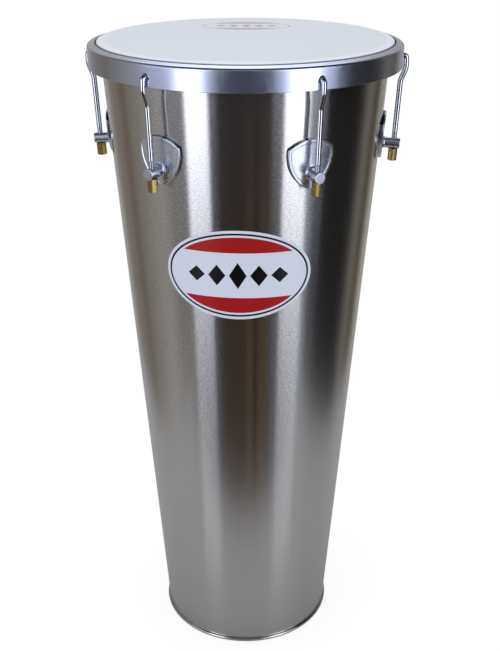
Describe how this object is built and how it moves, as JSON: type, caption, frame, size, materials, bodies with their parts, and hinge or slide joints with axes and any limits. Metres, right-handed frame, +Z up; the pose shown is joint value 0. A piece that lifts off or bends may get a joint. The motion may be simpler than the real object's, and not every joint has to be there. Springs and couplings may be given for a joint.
{
  "type": "timbal drum",
  "caption": "Tall tapered metal hand drum, open at the foot, with a film head held by a counterhoop, bent tension hooks and brass nuts on shield-shaped lugs.",
  "frame": {"origin": "centre of the open foot, on the floor", "axes": "+Z up the drum's axis, -Y the drum's front, between two tuning stations"},
  "size_m": [0.3976, 0.3838, 0.834],
  "materials": {
    "brushed_shell": "brushed round the drum",
    "chrome_plate": "polished",
    "drum_film": "smooth, slightly milky",
    "flesh_hoop_aluminium": "bare",
    "nut_brass": "machined",
    "zinc_plated_steel": "zinc plated"
  },
  "bodies": {
    "drum": {"shell": "brushed_shell", "drumhead_film": "drum_film", "flesh_hoop": "flesh_hoop_aluminium", "lug_1": "chrome_plate", "lug_2": "chrome_plate", "lug_3": "chrome_plate", "lug_4": "chrome_plate", "lug_5": "chrome_plate", "lug_6": "chrome_plate", "lug_screw_1": "zinc_plated_steel", "lug_screw_2": "zinc_plated_steel", "lug_screw_3": "zinc_plated_steel", "lug_screw_4": "zinc_plated_steel", "lug_screw_5": "zinc_plated_steel", "lug_screw_6": "zinc_plated_steel", "lug_washer_1": "zinc_plated_steel", "lug_washer_2": "zinc_plated_steel", "lug_washer_3": "zinc_plated_steel", "lug_washer_4": "zinc_plated_steel", "lug_washer_5": "zinc_plated_steel", "lug_washer_6": "zinc_plated_steel"},
    "counterhoop": {"counterhoop": "chrome_plate"},
    "hook_1": {"tension_hook_1": "chrome_plate"},
    "nut_1": {"tuning_nut_1": "nut_brass"},
    "hook_2": {"tension_hook_2": "chrome_plate"},
    "nut_2": {"tuning_nut_2": "nut_brass"},
    "hook_3": {"tension_hook_3": "chrome_plate"},
    "nut_3": {"tuning_nut_3": "nut_brass"},
    "hook_4": {"tension_hook_4": "chrome_plate"},
    "nut_4": {"tuning_nut_4": "nut_brass"},
    "hook_5": {"tension_hook_5": "chrome_plate"},
    "nut_5": {"tuning_nut_5": "nut_brass"},
    "hook_6": {"tension_hook_6": "chrome_plate"},
    "nut_6": {"tuning_nut_6": "nut_brass"}
  },
  "joints": [
    {"name": "counterhoop_slide", "type": "slide", "parent": "drum", "child": "counterhoop", "axis": [0, 0, 1], "range_m": [0, 0.008]},
    {"name": "hook_1_slide", "type": "slide", "parent": "drum", "child": "hook_1", "axis": [0.0217, -0.0445, 0.9988], "range_m": [0, 0.0081]},
    {"name": "nut_1_turn", "type": "hinge", "parent": "drum", "child": "nut_1", "pos_m": [0.08167, -0.16744, 0.70701], "axis": [0.0217, -0.0445, 0.9988], "range_deg": [-2890, 0]},
    {"name": "hook_2_slide", "type": "slide", "parent": "drum", "child": "hook_2", "axis": [0.0494, -0.0035, 0.9988], "range_m": [0, 0.0081]},
    {"name": "nut_2_turn", "type": "hinge", "parent": "drum", "child": "nut_2", "pos_m": [0.18584, -0.01299, 0.70701], "axis": [0.0494, -0.0035, 0.9988], "range_deg": [-2890, 0]},
    {"name": "hook_3_slide", "type": "slide", "parent": "drum", "child": "hook_3", "axis": [0.0277, 0.041, 0.9988], "range_m": [0, 0.0081]},
    {"name": "nut_3_turn", "type": "hinge", "parent": "drum", "child": "nut_3", "pos_m": [0.10418, 0.15445, 0.70701], "axis": [0.0277, 0.041, 0.9988], "range_deg": [-2890, 0]},
    {"name": "hook_4_slide", "type": "slide", "parent": "drum", "child": "hook_4", "axis": [-0.0217, 0.0445, 0.9988], "range_m": [0, 0.0081]},
    {"name": "nut_4_turn", "type": "hinge", "parent": "drum", "child": "nut_4", "pos_m": [-0.08167, 0.16744, 0.70701], "axis": [-0.0217, 0.0445, 0.9988], "range_deg": [-2890, 0]},
    {"name": "hook_5_slide", "type": "slide", "parent": "drum", "child": "hook_5", "axis": [-0.0494, 0.0035, 0.9988], "range_m": [0, 0.0081]},
    {"name": "nut_5_turn", "type": "hinge", "parent": "drum", "child": "nut_5", "pos_m": [-0.18584, 0.01299, 0.70701], "axis": [-0.0494, 0.0035, 0.9988], "range_deg": [-2890, 0]},
    {"name": "hook_6_slide", "type": "slide", "parent": "drum", "child": "hook_6", "axis": [-0.0277, -0.041, 0.9988], "range_m": [0, 0.0081]},
    {"name": "nut_6_turn", "type": "hinge", "parent": "drum", "child": "nut_6", "pos_m": [-0.10418, -0.15445, 0.70701], "axis": [-0.0277, -0.041, 0.9988], "range_deg": [-2890, 0]}
  ],
  "couplings": [
    {"joint": "hook_1_slide", "follows": "counterhoop_slide", "ratio": 1.0012},
    {"joint": "nut_1_turn", "follows": "counterhoop_slide", "rad_per_m": -6290.9},
    {"joint": "hook_2_slide", "follows": "counterhoop_slide", "ratio": 1.0012},
    {"joint": "nut_2_turn", "follows": "counterhoop_slide", "rad_per_m": -6290.9},
    {"joint": "hook_3_slide", "follows": "counterhoop_slide", "ratio": 1.0012},
    {"joint": "nut_3_turn", "follows": "counterhoop_slide", "rad_per_m": -6290.9},
    {"joint": "hook_4_slide", "follows": "counterhoop_slide", "ratio": 1.0012},
    {"joint": "nut_4_turn", "follows": "counterhoop_slide", "rad_per_m": -6290.9},
    {"joint": "hook_5_slide", "follows": "counterhoop_slide", "ratio": 1.0012},
    {"joint": "nut_5_turn", "follows": "counterhoop_slide", "rad_per_m": -6290.9},
    {"joint": "hook_6_slide", "follows": "counterhoop_slide", "ratio": 1.0012},
    {"joint": "nut_6_turn", "follows": "counterhoop_slide", "rad_per_m": -6290.9}
  ]
}
